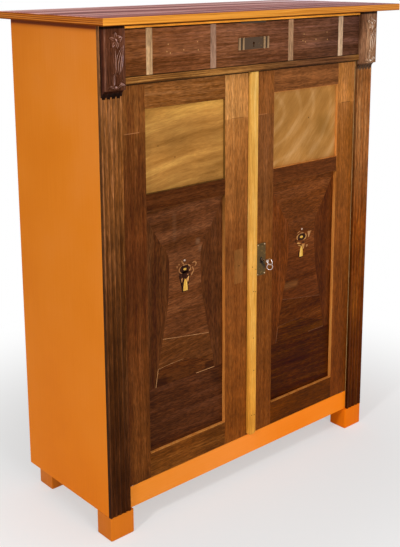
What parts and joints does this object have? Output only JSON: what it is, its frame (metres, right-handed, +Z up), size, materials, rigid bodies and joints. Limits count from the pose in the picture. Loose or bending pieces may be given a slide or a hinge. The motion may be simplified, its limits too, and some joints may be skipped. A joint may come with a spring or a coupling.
{
  "type": "parlour cabinet",
  "caption": "Free-standing parlour cabinet with a drawer above a pair of panelled doors, fluted pilasters, carved brackets, an overhanging top board and block feet.",
  "frame": {"origin": "on the floor, under the middle of the top board", "axes": "+X to the viewer's right, +Y to the back, +Z up; the doors face -Y"},
  "size_m": [1.028, 0.445, 1.295],
  "materials": {
    "top_board": "satin lacquer on a mahogany face",
    "orange_paint": "satin orange paint",
    "walnut": "oiled dark walnut",
    "walnut_stile": "oiled brown walnut",
    "maple_veneer": "oiled pale veneer",
    "pine": "oiled pine",
    "oak": "oiled oak",
    "inner_deal": "plain planed softwood",
    "aged_brass": "dull, aged",
    "steel": "worn bright steel"
  },
  "bodies": {
    "case": {"top_slab": "top_board", "case_screws": "steel", "left_side": "orange_paint", "right_side": "orange_paint", "front_posts": "inner_deal", "bottom_board": "inner_deal", "bottom_rail": "orange_paint", "drawer_divider": "oak", "top_rail": "orange_paint", "rear_top_rail": "inner_deal", "rear_bottom_rail": "inner_deal", "hinge_pins": "steel", "back_boards": "inner_deal", "front_left_foot": "orange_paint", "rear_left_foot": "orange_paint", "front_right_foot": "orange_paint", "rear_right_foot": "orange_paint", "left_pilaster": "walnut", "left_bracket": "walnut", "right_pilaster": "walnut", "right_bracket": "walnut", "lower_shelf": "inner_deal", "upper_shelf": "inner_deal", "shelf_battens": "inner_deal", "drawer_runners": "inner_deal", "drawer_kickers": "inner_deal", "stop_blocks": "inner_deal"},
    "drawer": {"drawer_front": "walnut", "drawer_left_side": "inner_deal", "drawer_right_side": "inner_deal", "drawer_bottom": "inner_deal", "drawer_back": "inner_deal", "drawer_inlay_strips": "maple_veneer", "drawer_escutcheon": "aged_brass", "drawer_lock": "steel"},
    "drawer_bolt": {"drawer_lock_bolt": "steel"},
    "left_door": {"left_door_lower_panel": "walnut", "left_door_upper_panel": "maple_veneer", "left_door_panel_beads": "pine", "left_door_rails": "walnut", "left_door_hinge_sockets": "steel", "left_door_hinge_stile": "walnut_stile", "left_door_meeting_stile": "walnut_stile", "left_door_keeper": "aged_brass", "left_door_bolt_guides": "steel"},
    "left_top_bolt": {"left_door_top_bolt": "steel"},
    "left_bottom_bolt": {"left_door_bottom_bolt": "steel"},
    "right_door": {"right_door_lower_panel": "walnut", "right_door_upper_panel": "maple_veneer", "right_door_panel_beads": "pine", "right_door_rails": "walnut", "right_door_hinge_sockets": "steel", "right_door_hinge_stile": "walnut_stile", "right_door_meeting_stile": "walnut_stile", "astragal_strip": "pine", "door_escutcheon": "aged_brass", "escutcheon_pins": "aged_brass", "door_lock_case": "steel"},
    "door_bolt": {"door_lock_bolt": "steel"},
    "key": {"door_key": "steel"}
  },
  "joints": [
    {"name": "drawer_slide", "type": "slide", "parent": "case", "child": "drawer", "axis": [0, -1, 0], "range_m": [0, 0.25]},
    {"name": "drawer_bolt_slide", "type": "slide", "parent": "drawer", "child": "drawer_bolt", "axis": [0, 0, 1], "range_m": [0, 0.007]},
    {"name": "left_door_swing", "type": "hinge", "parent": "case", "child": "left_door", "pos_m": [-0.404, -0.1415, 0.63], "axis": [0, 0, -1], "range_deg": [0, 100]},
    {"name": "left_top_bolt_slide", "type": "slide", "parent": "left_door", "child": "left_top_bolt", "axis": [0, 0, 1], "range_m": [0, 0.01]},
    {"name": "left_bottom_bolt_slide", "type": "slide", "parent": "left_door", "child": "left_bottom_bolt", "axis": [0, 0, -1], "range_m": [0, 0.01]},
    {"name": "right_door_swing", "type": "hinge", "parent": "case", "child": "right_door", "pos_m": [0.404, -0.1415, 0.63], "axis": [0, 0, 1], "range_deg": [0, 100]},
    {"name": "key_turn", "type": "hinge", "parent": "right_door", "child": "key", "pos_m": [0.044, -0.1475, 0.624], "axis": [0, 1, 0], "range_deg": [0, 360]},
    {"name": "door_bolt_slide", "type": "slide", "parent": "right_door", "child": "door_bolt", "axis": [-1, 0, 0], "range_m": [0, 0.01]}
  ],
  "couplings": [
    {"joint": "key_turn", "follows": "door_bolt_slide", "rad_per_m": 628.3}
  ]
}
